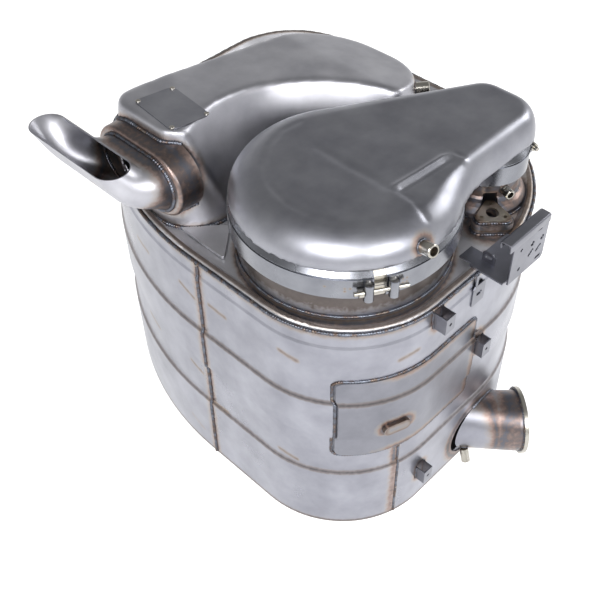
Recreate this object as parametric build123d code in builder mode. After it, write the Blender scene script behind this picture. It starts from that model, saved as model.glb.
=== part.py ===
from build123d import *
from math import acos, asin, atan2, cos, degrees, hypot, radians, sin, sqrt, tan
import os

os.makedirs("parts", exist_ok=True)

# Sheet metal and fits
sheet = 2.0
fit = 0.3
over = 1.0

# Plan of the box, measured from the filter axis, which is the origin
box_width = 621
box_depth = 731
axis_from_left = 186
axis_from_front = 190
front_left_radius = 182
front_flat = 149
front_right_radius = box_width - front_left_radius - front_flat
back_right_radius = 150
back_left_radius = 150
left_flare_radius = 560
left_flare_start = 150

# Heights of the wrapped wall
tray_height = 5
lower_band_top = 148
upper_band_bottom = 251
upper_band_top = 332
neck_level = 462
wall_top = 489
band_rise = 4
ledge = 9
neck_inset = 2
tray_edge_radius = 4
tray_lip = 20

# Top plate
plate_floor = 487
plate_rim = 495
rim_width = 8
dish_run = 8
rim_radius = 4
plate_skirt = 22
collar_height = 14
recess_depth = 2
recess_corners = ((-141, 211, 8), (-152, 117, 8), (-95, 157, 8))

# Large joint over the filter, and small joint over the mixing neck
joint_level = 565.5
filter_radius = 165
neck_centre = (249, -74)
neck_radius = 56
gasket = 1.2
flange_rise = 6.7
channel_sheet = 1.6
channel_half_width = 18.9
channel_leg = 7.1
strap_sheet = 1.4
strap_half_width = 16.6
bolt_radius = 3.5
bolt_length = 78
trunnion_radius = 6.2
trunnion_spacing = 36
trunnion_length = 26
loop_sheet = 1.2
filter_latch_angle = -122
neck_latch_angle = -15

# Crossover cover, pear shaped
skirt_bottom = 594.5
pan_depth = 8
cover_overhang = 7
cover_radius = filter_radius + cover_overhang
cover_top_radius = 122
cover_corner_a = (neck_centre[0] + 26, neck_centre[1] + 36, 50)
cover_corner_b = (neck_centre[0] + 16, neck_centre[1] - 1, 60)
cover_blend_radius = 200
cover_sections = ((600, 0, 0), (619, 6, 3), (634, 21, 10), (644, cover_radius - cover_top_radius, 26))
cover_recess = ((14, -99, 12), (14, -143, 12), (76, -130, 12), (117, -107, 13))
cover_recess_depth = 3

# Mixing neck and dosing flange
neck_dome = ((72, 487), (71, 495), (66, 504), (60, 509), (58.5, 515), (56, 519))
mixing_tube_radius = 50
mixing_tube_bottom = 40
funnel_height = 60
dosing_centre = (neck_centre[0] - 58, neck_centre[1] - 62)
dosing_hole_circle = 21.3
dosing_hole_turns = (45, 165, 285)
dosing_bore = 10
dosing_tilt = 30
dosing_pad_top = 506
dosing_flange_height = 6
dosing_hole_radius = 3.3

# Outlet hood, whose front is hollowed round the filter and whose top has two creases
hood_rounds = ((221, 190, 126), (208, 235, 138), (-98, 335, 60), (-80, 252, 78))
hood_clearance_radius = 188
hood_hollow_top = (20, 20, 236)
hood_top = 644
hood_left_crease = -28
hood_right_crease = 222
hood_left_rise = 4
hood_middle_fall = 7
hood_right_fall = 13
hood_draft = 8
hood_block_height = 168
hood_nose_radius = 22
hood_crease_radius = 120
hood_edge_radius = 6
hood_opening_inset = 16
hood_plate_centre = (-84.5, 280)
hood_plate_size = (72, 102)
hood_plate_turn = -6
hood_plate_sheet = 1.2
hood_rivet_spacing = (63, 91)
hood_rivet_radius = 4

# Outlet
outlet_face = -165
outlet_y = 277
outlet_z = 574
collar_depth = 45
collar_length = 197
collar_width = 115
collar_edge_radius = 6
pipe_sheet = 1.5
elbow_x = -189
mouth_z = 629
elbow_inner = 8
pipe_start = (165, 96)
pipe_stub = 12
elbow_sections = ((0, 77, 172, 283), (30, 62, 185, 298), (60, 55, 200, 315), (90, 59, 213, 331))

# Inlet
inlet_z = 62
inlet_base = (neck_centre[0] - 107, 4 - axis_from_front)
inlet_base_radius = 60
inlet_face = (inlet_base[0] + 64, inlet_base[1] - 56)
inlet_angle = -41
inlet_end_radius = 56
inlet_neck_length = 10
inlet_flange_radius = 61.5
inlet_flange_thickness = 7

# Side patch and pressure ports
patch_rise = 3
patch_left = -149
patch_right = 101
patch_bottom = 203
patch_top = 385
patch_corner = 10
port_centre = (-71, -177, 265)
port_spacing = 26
port_angle = 20

# Mounting bracket
bracket_x = 97
bracket_width = 87
bracket_face = -235.5
bracket_bottom = 489
bracket_top = 572
bracket_sheet = 3
bracket_flange = 18
shelf_left = 86
shelf_length = 95
shelf_depth = 60
foot_length = 30
foot_depth = 22
foot_offset = 5
bracket_holes = ((172, 534, 5), (147, 537, 5), (120, 505, 3.5))

# Small brackets on the front wall
small_bracket_width = 21
small_bracket_depth = 18
small_bracket_height = 31
small_bracket_sheet = 2
small_bracket_hole = 3
small_bracket_places = {"upper": (-4, 451), "middle": (114, 300), "lower": (-5, 66)}

# Catalysts inside
canister_bottom = 142
mat_gap = 13
oxidation_bottom = 150
oxidation_length = 85
filter_bottom = 264
filter_length = 270
reduction_centres = {"left": (-15, 325), "right": (240, 325)}
reduction_radius = 122
reduction_bottom = 190
reduction_length = 210
upper_baffle_level = 424
partition_clearance = 9
partition_bend = (neck_centre[0] - mixing_tube_radius - partition_clearance, -80)
partition_fold = (
    (partition_bend[0] + 16, -axis_from_front),
    partition_bend,
    (partition_bend[0] - 8, 150),
    (-axis_from_left - 4, 196),
)

# Sensor bosses
boss_radius = 10
boss_bore = 7
small_boss_radius = 8
small_boss_bore = 5.5

left_x = -axis_from_left
right_x = box_width - axis_from_left
front_y = -axis_from_front
back_y = box_depth - axis_from_front
pressed_top = cover_sections[-1][0]


# Outline of the box seen from above, moved outward by grow
def plan(grow, level):
    flare_centre = (left_x + left_flare_radius, left_flare_start)
    reach = left_flare_radius - back_left_radius
    turn = degrees(asin((back_y - back_left_radius - left_flare_start) / reach))
    back_left = (flare_centre[0] - reach * cos(radians(turn)), back_y - back_left_radius)
    front_left = (left_x + front_left_radius, front_y + front_left_radius)
    front_right = (right_x - front_right_radius, front_y + front_right_radius)
    back_right = (right_x - back_right_radius, back_y - back_right_radius)
    with BuildSketch(Plane.XY.offset(level)) as outline:
        with BuildLine():
            a = CenterArc(front_left, front_left_radius + grow, 180, 90)
            b = CenterArc(front_right, front_right_radius + grow, 270, 90)
            c = CenterArc(back_right, back_right_radius + grow, 0, 90)
            d = CenterArc(back_left, back_left_radius + grow, 90, 90 - turn)
            e = CenterArc(flare_centre, left_flare_radius + grow, 180 - turn, turn)
            Line(a @ 1, b @ 0)
            Line(b @ 1, c @ 0)
            Line(c @ 1, d @ 0)
            Line(e @ 1, a @ 0)
        make_face()
    return outline.sketch


# Solid of the banded wall, moved outward by grow and lengthened at both ends by extra
def box_form(grow, extra=0):
    steps = (
        (tray_height - extra, band_rise),
        (lower_band_top, band_rise),
        (lower_band_top + ledge, 0),
        (upper_band_bottom - ledge / 2, 0),
        (upper_band_bottom, band_rise),
        (upper_band_top, band_rise),
        (upper_band_top + ledge, 0),
        (neck_level - ledge / 2, 0),
        (neck_level, -neck_inset),
        (wall_top + extra, -neck_inset),
    )
    with BuildPart() as form:
        for (low, rise), (high, next_rise) in zip(steps, steps[1:]):
            if rise == next_rise:
                extrude(plan(grow + rise, low), amount=high - low)
            else:
                loft([plan(grow + rise, low), plan(grow + next_rise, high)], ruled=True)
    return form.part


# Direction from one point to another, in degrees
def heading(a, b):
    return degrees(atan2(b[1] - a[1], b[0] - a[0]))


# Belt round circles (x, y, radius) given anticlockwise, each grown, on a level
def belt(circles, grow, level):
    turns = []
    for (ax, ay, ar), (bx, by, br) in zip(circles, (*circles[1:], circles[0])):
        turns.append(heading((ax, ay), (bx, by)) - 90 + degrees(asin((ar - br) / hypot(bx - ax, by - ay))))
    with BuildSketch(Plane.XY.offset(level)) as outline:
        with BuildLine():
            arcs = []
            for (x, y, radius), start, end in zip(circles, (turns[-1], *turns[:-1]), turns):
                arcs.append(CenterArc((x, y), radius + grow, start, (end - start) % 360))
            for a, b in zip(arcs, (*arcs[1:], arcs[0])):
                Line(a @ 1, b @ 0)
        make_face()
    return outline.sketch


# Plane through the axis of a joint, with X outward and Y up from the middle of the joint
def joint_plane(centre):
    return Plane(origin=(centre[0], centre[1], joint_level), x_dir=(1, 0, 0), z_dir=(0, -1, 0))


# Ring about a joint's axis, from its section
def ring(centre, section):
    with BuildPart() as turned:
        with BuildSketch(joint_plane(centre)):
            with BuildLine():
                Polyline(*section, close=True)
            make_face()
        revolve(axis=Axis((centre[0], centre[1], 0), (0, 0, 1)))
    return turned.part


# Gasket between the halves of a joint
def gasket_ring(centre, tube):
    half = gasket / 2
    outer = tube + flange_rise
    return ring(centre, ((tube - sheet, -half), (outer, -half), (outer, half), (tube - sheet, half)))


# Plane of a latch whose trunnions stand at radius: X along the bolt, Y outward, Z up
def latch_plane(centre, radius, angle):
    outward = Vector(cos(radians(angle)), sin(radians(angle)), 0)
    reach = sqrt(radius**2 - (trunnion_spacing / 2) ** 2)
    origin = Vector(centre[0], centre[1], joint_level) + outward * reach
    return Plane(origin=origin, x_dir=(outward.Y, -outward.X, 0), z_dir=(0, 0, 1))


# Half of a joint, turned and welded round the end of its tube; side is 1 above and -1 below
def flange_half(centre, tube, side):
    corner = channel_half_width - channel_sheet * tan(radians(22.5))
    slope_foot = tube + flange_rise + fit + corner - fit * sqrt(2)
    low = gasket / 2
    section = (
        (tube, side * low),
        (tube + flange_rise, side * low),
        (tube + flange_rise, side * (slope_foot - tube - flange_rise)),
        (tube + 1, side * (slope_foot - tube - 1)),
        (tube, side * (slope_foot - tube - 1)),
    )
    return ring(centre, section)


# V-band clamp: folded channel under a strap, open at the latch, with a loop at each strap end
def clamp(centre, tube, angle):
    inner = tube + flange_rise + fit
    outer = inner + channel_sheet
    skew = channel_sheet * tan(radians(22.5))
    leg = channel_leg
    half = channel_half_width
    notch = channel_sheet * sqrt(2)
    section = (
        (outer - leg, half + leg),
        (outer, half),
        (outer, -half),
        (outer - leg, -half - leg),
        (outer - leg, -half - leg + notch),
        (inner, -half + skew),
        (inner, half - skew),
        (outer - leg, half + leg - notch),
    )
    strap = (
        (outer, strap_half_width),
        (outer + strap_sheet, strap_half_width),
        (outer + strap_sheet, -strap_half_width),
        (outer, -strap_half_width),
    )
    loop = trunnion_radius + fit / 2
    place = latch_plane(centre, outer + strap_sheet + loop, angle)
    with BuildPart() as band:
        add(ring(centre, section))
        add(ring(centre, strap))
        with Locations(place):
            with Locations((trunnion_spacing / 2, 0, 0), (-trunnion_spacing / 2, 0, 0)):
                Cylinder(loop + loop_sheet, 2 * strap_half_width - 4)
                Cylinder(loop, 2 * strap_half_width, mode=Mode.SUBTRACT)
            Box(trunnion_spacing / 2, 60, 80, mode=Mode.SUBTRACT)
            slot = 2 * bolt_radius + 1.5
            Box(bolt_length + 20, slot, slot, mode=Mode.SUBTRACT)
    return band.part


# Bolt of a clamp with its two trunnions and nut
def latch(centre, tube, angle):
    loop = trunnion_radius + fit / 2
    outer = tube + flange_rise + fit + channel_sheet + strap_sheet
    place = latch_plane(centre, outer + loop, angle)
    end = bolt_length / 2
    with BuildPart() as fastener:
        with Locations(place):
            with Locations((trunnion_spacing / 2, 0, 0), (-trunnion_spacing / 2, 0, 0)):
                Cylinder(trunnion_radius, trunnion_length)
            with Locations(Location((0, 0, 0), (0, 90, 0))):
                Cylinder(bolt_radius, bolt_length)
            with Locations(Location((trunnion_spacing / 2 + loop + loop_sheet + fit, 0, 0), (0, 90, 0))):
                Cylinder(6.5, 7, align=(Align.CENTER, Align.CENTER, Align.MIN))
    return fastener.part


# Outline of the pear-shaped cover, with its big end of the given radius
def pear(level, big, inset):
    ax, ay, ar = cover_corner_a
    bx, by, br = cover_corner_b
    ar = ar - inset
    br = br - inset
    front = by - br
    side = bx + br
    blend_y = front - cover_blend_radius
    blend_x = sqrt((big + cover_blend_radius) ** 2 - blend_y**2)
    blend_angle = degrees(atan2(blend_y, blend_x))
    lean = degrees(atan2(ay, ax) + acos((big - ar) / hypot(ax, ay)))
    with BuildSketch(Plane.XY.offset(level)) as outline:
        with BuildLine():
            a = CenterArc((0, 0), big, lean, 360 + blend_angle - lean)
            b = CenterArc((blend_x, blend_y), cover_blend_radius, blend_angle + 180, -90 - blend_angle)
            c = CenterArc((bx, by), br, 270, 90)
            d = CenterArc((side - ar, ay), ar, 0, lean)
            Line(b @ 1, c @ 0)
            Line(c @ 1, d @ 0)
            Line(d @ 1, a @ 0)
        make_face()
    return outline.sketch


# Solid under the cover's skin, moved inward
def cover_form(inset, low):
    sections = [pear(z - (inset if z == pressed_top else 0), cover_radius - fall - inset, run + inset)
                for z, fall, run in cover_sections]
    with BuildPart() as form:
        loft(sections)
        extrude(pear(low, cover_radius - inset, inset), amount=cover_sections[0][0] - low)
        floor = pressed_top - inset - cover_recess_depth
        extrude(belt(cover_recess, inset, floor), amount=2 * cover_recess_depth, mode=Mode.SUBTRACT)
    return form.part


# Point at given distances from a and b, on the left of the way from a to b where side is 1
def meeting(a, a_reach, b, b_reach, side):
    gap = hypot(b[0] - a[0], b[1] - a[1])
    along = (a_reach**2 - b_reach**2 + gap**2) / (2 * gap)
    turn = radians(heading(a, b)) + side * acos(along / a_reach)
    return (a[0] + a_reach * cos(turn), a[1] + a_reach * sin(turn))


# Outline of the hood on a level, moved inward: a belt whose front is hollowed, with a nose at each end
def hood_outline(level, inset):
    share = (level - plate_floor) / (hood_top - plate_floor)
    hollow_x, hollow_y, hollow_radius = hood_hollow_top
    hollow = (share * hollow_x, share * hollow_y)
    bend = hood_clearance_radius + share * (hollow_radius - hood_clearance_radius) + inset
    grow = (plate_floor - level) * tan(radians(hood_draft)) - inset
    nose = hood_nose_radius - inset
    rounds = [((x, y), radius + grow) for x, y, radius in hood_rounds]
    right, right_radius = rounds[0]
    left, left_radius = rounds[-1]
    right_nose = meeting(right, right_radius - nose, hollow, bend + nose, 1)
    left_nose = meeting(left, left_radius - nose, hollow, bend + nose, -1)
    turns = [heading(right, right_nose)]
    for (a, a_radius), (b, b_radius) in zip(rounds, rounds[1:]):
        gap = hypot(b[0] - a[0], b[1] - a[1])
        turns.append(heading(a, b) - 90 + degrees(asin((a_radius - b_radius) / gap)))
    turns.append(heading(left, left_nose))
    with BuildSketch(Plane.XY.offset(level)) as outline:
        with BuildLine():
            arcs = []
            for (centre, radius), start, end in zip(rounds, turns, turns[1:]):
                arcs.append(CenterArc(centre, radius, start, (end - start) % 360))
            for a, b in zip(arcs, arcs[1:]):
                Line(a @ 1, b @ 0)
            start = turns[-1]
            CenterArc(left_nose, nose, start, (heading(left_nose, hollow) - start) % 360)
            start = heading(hollow, left_nose)
            CenterArc(hollow, bend, start, -((start - heading(hollow, right_nose)) % 360))
            start = heading(right_nose, hollow)
            CenterArc(right_nose, nose, start, (turns[0] - start) % 360)
        make_face()
    return outline.sketch


# Solid under the hood's skin, moved inward
def hood_form(inset, low):
    right_top = hood_top - (hood_right_crease - hood_left_crease) * tan(radians(hood_middle_fall))
    facets = (
        (hood_left_crease, hood_top, hood_left_rise),
        (hood_left_crease, hood_top, hood_middle_fall),
        (hood_right_crease, right_top, hood_right_fall),
    )
    with BuildPart() as form:
        loft([hood_outline(low, inset), hood_outline(low + hood_block_height, inset)], ruled=True)
        for x, z, tilt in facets:
            normal = (sin(radians(tilt)), 0, cos(radians(tilt)))
            split(bisect_by=Plane(origin=(x, 0, z - inset), z_dir=normal), keep=Keep.BOTTOM)
        flat = form.faces().filter_by(Plane.XY, reverse=True).filter_by(lambda face: face.normal_at().Z > 0.9)
        creases = flat.edges().filter_by(lambda edge: sum(edge in face.edges() for face in flat) == 2)
        fillet(creases, hood_crease_radius)
        tops = form.faces().filter_by(lambda face: face.normal_at().Z > 0.9)
        rim = tops.edges().filter_by(lambda edge: sum(edge in face.edges() for face in tops) == 1)
        fillet(rim, hood_edge_radius - inset)
    return form.part


# Rounded-end outline on a plane
def racetrack(plane, length, width):
    with BuildSketch(plane) as outline:
        SlotOverall(length, width)
    return outline.sketch


# Plane across the tail pipe, turned by angle from the outlet's face towards the sky
def pipe_plane(x, y, z, angle):
    return Plane(origin=(x, y, z), x_dir=(0, 1, 0), z_dir=(-cos(radians(angle)), 0, sin(radians(angle))))


# Solid of the tail pipe, moved inward
def pipe_form(inset):
    length, width = pipe_start
    start = racetrack(pipe_plane(outlet_face, outlet_y, outlet_z, 0), length - 2 * inset, width - 2 * inset)
    sections = [start]
    for angle, thick, span, y in elbow_sections:
        reach = elbow_inner + thick / 2
        x = elbow_x - reach * sin(radians(angle))
        z = mouth_z - reach * cos(radians(angle))
        sections.append(racetrack(pipe_plane(x, y, z, angle), span - 2 * inset, thick - 2 * inset))
    with BuildPart() as form:
        loft(sections)
        extrude(start, amount=-pipe_stub)
    return form.part


# Sensor boss standing at foot along direction
def boss(foot, direction, length, radius=boss_radius, bore=boss_bore):
    stand = (Align.CENTER, Align.CENTER, Align.MIN)
    with BuildPart(Plane(origin=foot, z_dir=direction)) as piece:
        Cylinder(radius, length, align=stand)
        chamfer(piece.edges().sort_by(Axis(foot, direction))[-1], 1)
        Cylinder(bore, length, align=stand, mode=Mode.SUBTRACT)
    return piece.part


wall = box_form(0)
wall_inside = box_form(-sheet, over)
inlet_direction = (cos(radians(inlet_angle)), sin(radians(inlet_angle)), 0)

# Wrapped wall with the inlet opening
with BuildPart() as body_shell:
    add(wall)
    add(wall_inside, mode=Mode.SUBTRACT)
    with Locations(Plane(origin=(*inlet_base, inlet_z), z_dir=(0, -1, 0))):
        Cylinder(inlet_base_radius - 4, 60, mode=Mode.SUBTRACT)

# Pressed floor tray with a lip inside the wall
with BuildPart() as bottom_plate:
    extrude(plan(band_rise, 0), amount=tray_height)
    fillet(bottom_plate.edges().group_by(Axis.Z)[0], tray_edge_radius)
    extrude(plan(band_rise - sheet - fit, tray_height), amount=tray_lip)
    extrude(plan(band_rise - 2 * sheet - fit, sheet), amount=tray_height + tray_lip, mode=Mode.SUBTRACT)

# Dished lid with a turned rim, a collar for the filter and an embossed triangle
skirt_inset = neck_inset + sheet + fit
rim_inset = skirt_inset + rim_width
dish_inset = rim_inset + dish_run
with BuildPart() as rim_hollow:
    extrude(plan(-skirt_inset - sheet, plate_floor - sheet), amount=plate_rim - plate_floor)
    loft(
        [plan(sheet - dish_inset, plate_floor - sheet), plan(sheet - rim_inset, plate_rim - sheet)],
        ruled=True,
        mode=Mode.SUBTRACT,
    )
with BuildPart() as top_plate:
    skirt_low = wall_top - plate_skirt
    extrude(plan(-skirt_inset, skirt_low), amount=plate_rim - skirt_low)
    fillet(top_plate.edges().group_by(Axis.Z)[-1], rim_radius)
    extrude(plan(-skirt_inset - sheet, skirt_low), amount=plate_floor - sheet - skirt_low, mode=Mode.SUBTRACT)
    add(rim_hollow.part, mode=Mode.SUBTRACT)
    loft([plan(-dish_inset, plate_floor), plan(-rim_inset, plate_rim)], ruled=True, mode=Mode.SUBTRACT)
    with BuildSketch(Plane.XY.offset(plate_floor - sheet)):
        Circle(filter_radius + fit + sheet)
    extrude(amount=sheet + collar_height)
    with BuildSketch(Plane.XY.offset(plate_floor - sheet)):
        Circle(filter_radius + fit)
    extrude(amount=sheet + collar_height, mode=Mode.SUBTRACT)
    extrude(belt(recess_corners, sheet, plate_floor - sheet - recess_depth), amount=sheet + recess_depth)
    extrude(belt(recess_corners, 0, plate_floor - recess_depth), amount=recess_depth, mode=Mode.SUBTRACT)
    with BuildSketch(Plane.XY.offset(plate_floor - 2 * sheet)) as openings:
        add(hood_outline(plate_floor, hood_opening_inset))
        with Locations(neck_centre):
            Circle(neck_dome[0][0] - 5)
    extrude(amount=3 * sheet, mode=Mode.SUBTRACT)

# Space taken by the rim, which trims what stands on the plate
with BuildPart() as rim_space:
    extrude(plan(3 * band_rise, plate_floor - over), amount=plate_rim + fit + over - plate_floor)
    extrude(plan(-dish_inset - fit, plate_floor - over), amount=over, mode=Mode.SUBTRACT)
    loft(
        [plan(-dish_inset - fit, plate_floor), plan(-rim_inset - fit, plate_rim + fit)],
        ruled=True,
        mode=Mode.SUBTRACT,
    )

# Raised panel welded over the front left corner, with the wall's bands in it
with BuildPart() as side_patch:
    with BuildSketch(Plane.XZ.offset(axis_from_front + 20)):
        with Locations(((patch_left + patch_right) / 2, (patch_bottom + patch_top) / 2)):
            RectangleRounded(patch_right - patch_left, patch_top - patch_bottom, patch_corner)
    extrude(amount=-front_left_radius / 2)
    add(box_form(patch_rise), mode=Mode.INTERSECT)
    add(wall, mode=Mode.SUBTRACT)

# Oval block with two ports on the patch
with BuildPart() as pressure_port_block:
    turn = radians(port_angle)
    with BuildSketch(Plane(origin=port_centre, x_dir=(cos(turn), -sin(turn), 0), z_dir=(-sin(turn), -cos(turn), 0))):
        SlotCenterToCenter(port_spacing, 22)
    extrude(amount=12, both=True)
    add(box_form(patch_rise), mode=Mode.SUBTRACT)

# Hood over the catalysts
with BuildPart() as outlet_hood:
    add(hood_form(0, plate_floor))
    add(hood_form(sheet, plate_floor - over), mode=Mode.SUBTRACT)
    add(rim_space.part, mode=Mode.SUBTRACT)
    mouth_plane = pipe_plane(outlet_face + collar_depth, outlet_y, outlet_z, 0)
    extrude(racetrack(mouth_plane, pipe_start[0] - 4, pipe_start[1] - 4), amount=60, mode=Mode.SUBTRACT)

# Plain plate on the hood's left top, with four rivets
lean = radians(hood_left_rise)
turn = radians(hood_plate_turn)
plate_x, plate_y = hood_plate_centre
hood_plate_plane = Plane(
    origin=(plate_x, plate_y, hood_top + (hood_left_crease - plate_x) * tan(lean)),
    x_dir=(cos(turn) * cos(lean), sin(turn), -cos(turn) * sin(lean)),
    z_dir=(sin(lean), 0, cos(lean)),
)
with BuildPart() as hood_plate:
    with BuildSketch(hood_plate_plane):
        RectangleRounded(*hood_plate_size, 12)
    extrude(amount=hood_plate_sheet)
with BuildPart() as hood_plate_rivets:
    with BuildSketch(hood_plate_plane.offset(hood_plate_sheet)):
        with GridLocations(*hood_rivet_spacing, 2, 2):
            Circle(hood_rivet_radius)
    extrude(amount=hood_rivet_radius / 2)
    above = hood_plate_sheet + hood_rivet_radius / 4
    heads = hood_plate_rivets.edges().filter_by(lambda edge: hood_plate_plane.to_local_coords(edge @ 0).Z > above)
    fillet(heads, hood_rivet_radius / 4)

# Collar round the outlet
with BuildPart() as outlet_collar:
    extrude(racetrack(mouth_plane, collar_length, collar_width), amount=collar_depth)
    fillet(outlet_collar.edges().group_by(Axis.X)[0], collar_edge_radius)
    extrude(racetrack(mouth_plane, *pipe_start), amount=collar_depth, mode=Mode.SUBTRACT)
    add(hood_form(0, plate_floor), mode=Mode.SUBTRACT)

# Flattened tail pipe, turned up to the sky
with BuildPart() as tail_pipe:
    add(pipe_form(0))
    add(pipe_form(pipe_sheet), mode=Mode.SUBTRACT)

# Pressed crossover cover
with BuildPart() as crossover_cover:
    add(cover_form(0, skirt_bottom))
    add(cover_form(sheet, skirt_bottom - over), mode=Mode.SUBTRACT)

# Floor of the crossover with its two necks
pan_level = skirt_bottom + pan_depth
with BuildPart() as crossover_pan:
    extrude(pear(pan_level, cover_radius - sheet - fit, sheet + fit), amount=sheet)
    add(cover_form(sheet + fit, skirt_bottom), mode=Mode.INTERSECT)
    with BuildSketch(Plane.XY.offset(joint_level + gasket / 2)):
        Circle(filter_radius)
        with Locations(neck_centre):
            Circle(neck_radius)
    extrude(amount=pan_level - joint_level)
    with BuildSketch(Plane.XY.offset(joint_level)):
        Circle(filter_radius - sheet)
        with Locations(neck_centre):
            Circle(neck_radius - sheet)
    extrude(amount=pan_level - joint_level + 2 * sheet, mode=Mode.SUBTRACT)

origin = (0, 0)
with BuildPart() as cover_flange:
    add(flange_half(origin, filter_radius, 1))
with BuildPart() as filter_flange:
    add(flange_half(origin, filter_radius, -1))
with BuildPart() as filter_gasket:
    add(gasket_ring(origin, filter_radius))
with BuildPart() as filter_clamp:
    add(clamp(origin, filter_radius, filter_latch_angle))
with BuildPart() as filter_clamp_latch:
    add(latch(origin, filter_radius, filter_latch_angle))
with BuildPart() as neck_upper_flange:
    add(flange_half(neck_centre, neck_radius, 1))
with BuildPart() as neck_lower_flange:
    add(flange_half(neck_centre, neck_radius, -1))
with BuildPart() as neck_gasket:
    add(gasket_ring(neck_centre, neck_radius))
with BuildPart() as neck_clamp:
    add(clamp(neck_centre, neck_radius, neck_latch_angle))
with BuildPart() as neck_clamp_latch:
    add(latch(neck_centre, neck_radius, neck_latch_angle))

# Seat and flange of the dosing valve, bored towards the middle of the mixing neck
dosing_holes = []
for turn in dosing_hole_turns:
    across = dosing_hole_circle * cos(radians(turn))
    along = dosing_hole_circle * sin(radians(turn))
    dosing_holes.append((dosing_centre[0] + across, dosing_centre[1] + along))
inward = Vector(neck_centre[0] - dosing_centre[0], neck_centre[1] - dosing_centre[1], 0).normalized()
dosing_axis = inward * sin(radians(dosing_tilt)) - Vector(0, 0, cos(radians(dosing_tilt)))
dosing_top = dosing_pad_top + dosing_flange_height
dosing_bore_plane = Plane(origin=(*dosing_centre, dosing_top), z_dir=dosing_axis)
with BuildPart() as dosing_pad:
    extrude(belt([(x, y, 14) for x, y in dosing_holes], 0, plate_floor), amount=dosing_pad_top - plate_floor)
    add(rim_space.part, mode=Mode.SUBTRACT)
    with Locations(dosing_bore_plane):
        Cylinder(dosing_bore, 120, mode=Mode.SUBTRACT)
with BuildPart() as dosing_flange:
    extrude(belt([(x, y, 9.5) for x, y in dosing_holes], 0, dosing_pad_top), amount=dosing_flange_height)
    with Locations(dosing_bore_plane):
        Cylinder(dosing_bore, 60, mode=Mode.SUBTRACT)
    with Locations([(x, y, dosing_top) for x, y in dosing_holes]):
        Hole(dosing_hole_radius, depth=dosing_flange_height)

# Domed neck below the small joint
with BuildPart() as mixing_neck:
    with BuildSketch(Plane(origin=(*neck_centre, 0), x_dir=(1, 0, 0), z_dir=(0, -1, 0))):
        with BuildLine():
            top = joint_level - gasket / 2
            outside = [*neck_dome, (neck_radius, top)]
            inside = [(r - sheet, z - (sheet if r < neck_dome[1][0] else 0)) for r, z in neck_dome]
            Polyline(*outside, (neck_radius - sheet, top), *inside[::-1], close=True)
        make_face()
    revolve(axis=Axis((*neck_centre, 0), (0, 0, 1)))
    extrude(belt([(x, y, 14) for x, y in dosing_holes], 0, plate_floor), amount=40, mode=Mode.SUBTRACT)
    add(rim_space.part, mode=Mode.SUBTRACT)

# Mixing tube with its funnel below the neck
with BuildPart() as mixing_tube:
    funnel = neck_dome[0][0] - 5 - fit
    funnel_low = plate_floor - funnel_height
    with BuildSketch(Plane(origin=(*neck_centre, 0), x_dir=(1, 0, 0), z_dir=(0, -1, 0))):
        with BuildLine():
            Polyline(
                (mixing_tube_radius, mixing_tube_bottom),
                (mixing_tube_radius, funnel_low),
                (funnel, plate_floor - 15),
                (funnel, plate_floor),
                (funnel - sheet, plate_floor),
                (funnel - sheet, plate_floor - 15),
                (mixing_tube_radius - sheet, funnel_low),
                (mixing_tube_radius - sheet, mixing_tube_bottom),
                close=True,
            )
        make_face()
    revolve(axis=Axis((*neck_centre, 0), (0, 0, 1)))

# Skew inlet cone and its flange
inlet_plane = Plane(origin=(*inlet_face, inlet_z), z_dir=inlet_direction)


# Solid of the inlet cone, moved inward
def inlet_form(inset, extra):
    root = Plane(origin=(inlet_base[0] - 12, inlet_base[1] + 30, inlet_z), x_dir=(1, 0, 0), z_dir=(0, -1, 0))
    end = Plane(origin=inlet_plane.origin, x_dir=(-inlet_direction[1], inlet_direction[0], 0), z_dir=inlet_direction)
    with BuildPart() as form:
        with BuildSketch(root):
            Circle(inlet_base_radius - inset)
        with BuildSketch(end):
            Circle(inlet_end_radius - inset)
        loft()
        with BuildSketch(end):
            Circle(inlet_end_radius - inset)
        extrude(amount=inlet_neck_length + extra)
    return form.part


with BuildPart() as inlet_cone:
    add(inlet_form(0, 0))
    add(inlet_form(sheet, over), mode=Mode.SUBTRACT)
    add(wall, mode=Mode.SUBTRACT)
    extrude(plan(band_rise + fit, -over), amount=tray_height + over + fit, mode=Mode.SUBTRACT)
with BuildPart(inlet_plane.offset(inlet_neck_length - 3)) as inlet_flange:
    Cylinder(inlet_flange_radius, inlet_flange_thickness, align=(Align.CENTER, Align.CENTER, Align.MIN))
    Cylinder(inlet_end_radius, 3 * inlet_flange_thickness, mode=Mode.SUBTRACT)

with BuildPart() as cover_boss:
    add(boss((-28, 16 - cover_radius, skirt_bottom + 11.5), (-0.17, -1, 0.3), length=34))
    add(cover_form(0, skirt_bottom), mode=Mode.SUBTRACT)
with BuildPart() as hood_boss:
    add(boss((295, 112, 575), (1, -1, 0.1), length=26))
    add(hood_form(0, plate_floor), mode=Mode.SUBTRACT)
with BuildPart() as neck_boss:
    foot = (neck_centre[0] - 17, neck_centre[1] - 47, joint_level - 35)
    add(boss(foot, (-0.34, -0.94, 0), radius=small_boss_radius, bore=small_boss_bore, length=24))
    with Locations((*neck_centre, joint_level)):
        Cylinder(neck_radius, 200, mode=Mode.SUBTRACT)
with BuildPart() as inlet_boss:
    foot = (inlet_base[0] - 27, inlet_base[1] - 19, inlet_z - 32)
    add(boss(foot, (-0.2, -0.45, -0.87), radius=small_boss_radius, bore=small_boss_bore, length=26))
    add(inlet_form(0, 0), mode=Mode.SUBTRACT)
    extrude(plan(band_rise + fit, -over), amount=lower_band_top, mode=Mode.SUBTRACT)

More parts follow.
